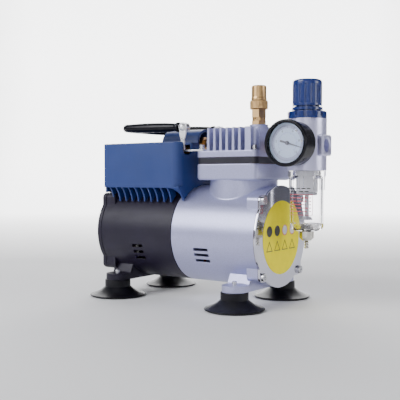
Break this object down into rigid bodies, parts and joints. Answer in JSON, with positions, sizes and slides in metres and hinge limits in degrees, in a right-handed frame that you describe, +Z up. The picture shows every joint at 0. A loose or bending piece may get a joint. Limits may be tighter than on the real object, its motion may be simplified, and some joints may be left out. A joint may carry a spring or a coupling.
{
  "type": "air compressor",
  "caption": "Small oil-less piston air compressor: motor with cowl and fold-up handle, finned head, relief valve, filter regulator with gauge, on suction feet.",
  "frame": {"origin": "under the middle of the bounding box, on the plane the suction feet stand on", "axes": "+X along the motor shaft towards the crankcase cover and the filter regulator, +Y across the machine away from the gauge's face, +Z up"},
  "size_m": [0.237, 0.143, 0.2066],
  "materials": {
    "black_paint": "semi-gloss black paint",
    "silver_paint": "silver-grey metallic paint, satin",
    "polished_steel": "polished, bright plated steel",
    "zinc_steel": "bright zinc-plated steel",
    "gasket": "dark brown gasket sheet and black rubber",
    "black_rubber": "black rubber, slightly shiny",
    "lamination": "varnished steel laminations",
    "copper": "lacquered copper wire",
    "steel": "ground steel",
    "cast_iron": "as-cast grey iron",
    "bare_aluminium": "machined aluminium",
    "black_plastic": "matt black nylon",
    "white_plastic": "white sintered plastic",
    "black_plate": "oiled black steel plate, satin",
    "brass": "machined brass, lightly aged",
    "blue_cowl": "blue moulded plastic, satin",
    "blue_gloss": "glossy deep blue plastic",
    "grip": "glossy black plastic",
    "clear_bowl": "clear moulded polycarbonate",
    "nickel": "nickel-plated brass",
    "gauge_black": "glossy black enamel",
    "dial": "pale blue-white dial",
    "pointer_grey": "grey painted pointer"
  },
  "bodies": {
    "machine": {"rear_housing": "black_paint", "rear_cover": "black_paint", "crankcase": "silver_paint", "cylinder_head": "silver_paint", "regulator_body": "silver_paint", "front_cover": "polished_steel", "handle_brackets": "polished_steel", "handle_pivot_screws": "polished_steel", "cover_screws": "zinc_steel", "foot_studs": "zinc_steel", "head_bolts": "zinc_steel", "gaskets": "gasket", "diaphragm": "gasket", "suction_feet": "black_rubber", "stator_core": "lamination", "windings": "copper", "motor_bearings": "steel", "reed_valves": "steel", "relief_spring": "steel", "range_spring": "steel", "cylinder_liner": "bare_aluminium", "capacitor": "bare_aluminium", "cable_gland": "black_plastic", "switch_housing": "black_plastic", "baffle": "black_plastic", "drain_nut": "black_plastic", "filter_element": "white_plastic", "valve_plate": "black_plate", "pipe_fittings": "brass", "intake_filter": "brass", "relief_valve_body": "brass", "gauge_movement": "brass", "cowl": "blue_cowl", "regulator_bonnet": "blue_gloss", "filter_bowl": "clear_bowl", "gauge_lens": "clear_bowl", "drain_body": "nickel", "gauge_case": "gauge_black", "gauge_bezel": "gauge_black", "gauge_dial": "dial"},
    "crankshaft": {"motor_shaft": "steel", "rotor": "lamination", "cooling_fan": "black_plastic", "crank_web": "cast_iron"},
    "piston": {"piston": "bare_aluminium", "piston_seal": "white_plastic", "wrist_pin": "steel"},
    "connecting_rod": {"connecting_rod": "bare_aluminium", "big_end_bearing": "steel", "crank_pin": "steel"},
    "handle": {"handle_grip": "grip", "handle_tangs": "zinc_steel"},
    "adjuster": {"adjusting_screw": "zinc_steel"},
    "knob": {"regulator_knob": "blue_gloss"},
    "gauge_pointer": {"gauge_pointer": "pointer_grey"},
    "drain_stem": {"drain_stem": "nickel"},
    "relief_cap": {"relief_cap": "brass"},
    "relief_lock_ring": {"relief_lock_ring": "brass"},
    "relief_poppet": {"relief_poppet": "brass"},
    "switch_rocker": {"switch_rocker": "black_plastic"}
  },
  "joints": [
    {"name": "crank_spin", "type": "hinge", "parent": "machine", "child": "crankshaft", "pos_m": [0, 0, 0.0644], "axis": [1, 0, 0], "continuous": true},
    {"name": "piston_slide", "type": "slide", "parent": "machine", "child": "piston", "axis": [0, 0, 1], "range_m": [-0.014, 0]},
    {"name": "rod_swing", "type": "hinge", "parent": "piston", "child": "connecting_rod", "pos_m": [0.03165, 0, 0.117], "axis": [1, 0, 0], "range_deg": [-8.8, 8.8]},
    {"name": "handle_fold", "type": "hinge", "parent": "machine", "child": "handle", "pos_m": [-0.01705, 0, 0.1673], "axis": [0, 1, 0], "range_deg": [-5, 105]},
    {"name": "adjuster_turn", "type": "hinge", "parent": "machine", "child": "adjuster", "pos_m": [0.09835, 0, 0.19], "axis": [0, 0, 1], "range_deg": [-720, 720]},
    {"name": "knob_lift", "type": "slide", "parent": "adjuster", "child": "knob", "axis": [0, 0, 1], "range_m": [0, 0.003]},
    {"name": "pointer_turn", "type": "hinge", "parent": "machine", "child": "gauge_pointer", "pos_m": [0.09835, -0.0368, 0.1485], "axis": [0, 1, 0], "range_deg": [-242, 28]},
    {"name": "drain_push", "type": "slide", "parent": "machine", "child": "drain_stem", "axis": [0, 0, 1], "range_m": [0, 0.002], "stiffness_N_per_m": 150, "springref_m": -0.002},
    {"name": "relief_cap_turn", "type": "hinge", "parent": "machine", "child": "relief_cap", "pos_m": [0.04805, 0, 0.2], "axis": [0, 0, 1], "range_deg": [-360, 360]},
    {"name": "lock_ring_turn", "type": "hinge", "parent": "machine", "child": "relief_lock_ring", "pos_m": [0.04805, 0, 0.187], "axis": [0, 0, 1], "range_deg": [-360, 360]},
    {"name": "relief_lift", "type": "slide", "parent": "machine", "child": "relief_poppet", "axis": [0, 0, 1], "range_m": [0, 0.0015], "stiffness_N_per_m": 1500, "springref_m": -0.002, "deforming": ["relief_spring"]},
    {"name": "switch_rock", "type": "hinge", "parent": "machine", "child": "switch_rocker", "pos_m": [-0.10685, -0.01, 0.132], "axis": [0, 0, 1], "range_deg": [-13.6, 0]}
  ]
}
